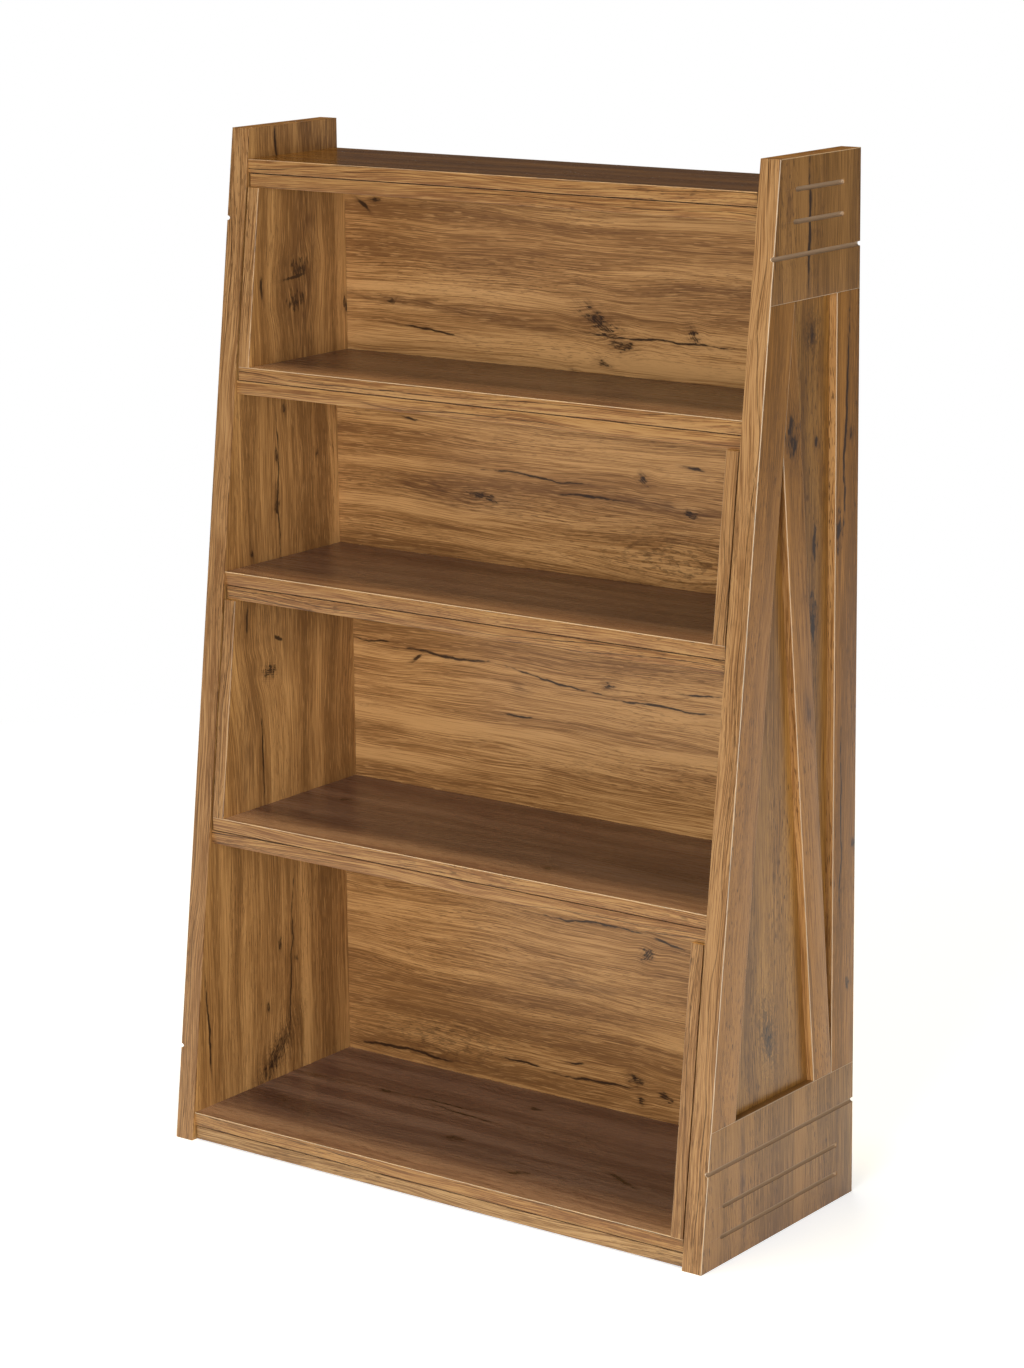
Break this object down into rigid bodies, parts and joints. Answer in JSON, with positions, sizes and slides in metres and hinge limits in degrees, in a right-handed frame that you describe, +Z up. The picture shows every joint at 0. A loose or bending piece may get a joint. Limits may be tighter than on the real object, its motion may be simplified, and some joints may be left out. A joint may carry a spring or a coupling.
{
  "type": "sliding bookcase",
  "caption": "Ladder-profile open bookcase of wood-print board whose two interleaved shelf units slide apart to widen it and push together to store it.",
  "frame": {"origin": "middle of the closed bookcase's footprint, on the floor", "axes": "+X along the shelves to the right, +Y from the front to the rear, +Z up"},
  "size_m": [0.716, 0.294, 1.13],
  "materials": {
    "outer_side_laminate": "matt wood-print laminate with upright grain",
    "inner_side_laminate": "matt wood-print laminate with upright grain",
    "shelf_laminate": "matt wood-print laminate with grain along the shelf",
    "back_laminate": "matt wood-print laminate with level grain",
    "edge_band": "wood-print edge strip",
    "zinc_plated_steel": "zinc plated",
    "cast_zinc": "as cast",
    "beech_dowel": "fluted beech, unfinished"
  },
  "bodies": {
    "left_unit": {"bottom_box_back_panel": "back_laminate", "bottom_box_end_panel": "inner_side_laminate", "bottom_box_end_panel_edge_band": "edge_band", "bottom_box_floor": "shelf_laminate", "bottom_box_floor_edge_band": "edge_band", "bottom_box_roof": "shelf_laminate", "bottom_box_roof_edge_band": "edge_band", "left_cam_bolts": "zinc_plated_steel", "left_cam_discs": "cast_zinc", "left_crown_panel": "outer_side_laminate", "left_diagonal_brace": "outer_side_laminate", "left_dowels": "beech_dowel", "left_end_panel_screws": "zinc_plated_steel", "left_front_edge_band": "edge_band", "left_front_leg": "outer_side_laminate", "left_plinth_panel": "outer_side_laminate", "left_rear_leg": "outer_side_laminate", "left_side_board": "inner_side_laminate", "top_cover_board": "shelf_laminate", "top_cover_board_edge_band": "edge_band", "upper_box_back_panel": "back_laminate", "upper_box_end_panel": "inner_side_laminate", "upper_box_end_panel_edge_band": "edge_band", "upper_box_floor": "shelf_laminate", "upper_box_floor_edge_band": "edge_band", "upper_box_roof": "shelf_laminate", "upper_box_roof_edge_band": "edge_band"},
    "right_unit": {"base_board": "shelf_laminate", "base_board_edge_band": "edge_band", "lower_box_back_panel": "back_laminate", "lower_box_end_panel": "inner_side_laminate", "lower_box_end_panel_edge_band": "edge_band", "lower_box_floor": "shelf_laminate", "lower_box_floor_edge_band": "edge_band", "lower_box_roof": "shelf_laminate", "lower_box_roof_edge_band": "edge_band", "right_cam_bolts": "zinc_plated_steel", "right_cam_discs": "cast_zinc", "right_crown_panel": "outer_side_laminate", "right_diagonal_brace": "outer_side_laminate", "right_dowels": "beech_dowel", "right_end_panel_screws": "zinc_plated_steel", "right_front_edge_band": "edge_band", "right_front_leg": "outer_side_laminate", "right_plinth_panel": "outer_side_laminate", "right_rear_leg": "outer_side_laminate", "right_side_board": "inner_side_laminate", "top_box_back_panel": "back_laminate", "top_box_end_panel": "inner_side_laminate", "top_box_end_panel_edge_band": "edge_band", "top_box_floor": "shelf_laminate", "top_box_floor_edge_band": "edge_band", "top_box_roof": "shelf_laminate", "top_box_roof_edge_band": "edge_band"}
  },
  "joints": [
    {"name": "unit_slide", "type": "slide", "parent": "left_unit", "child": "right_unit", "axis": [1, 0, 0], "range_m": [0, 0.42]}
  ]
}
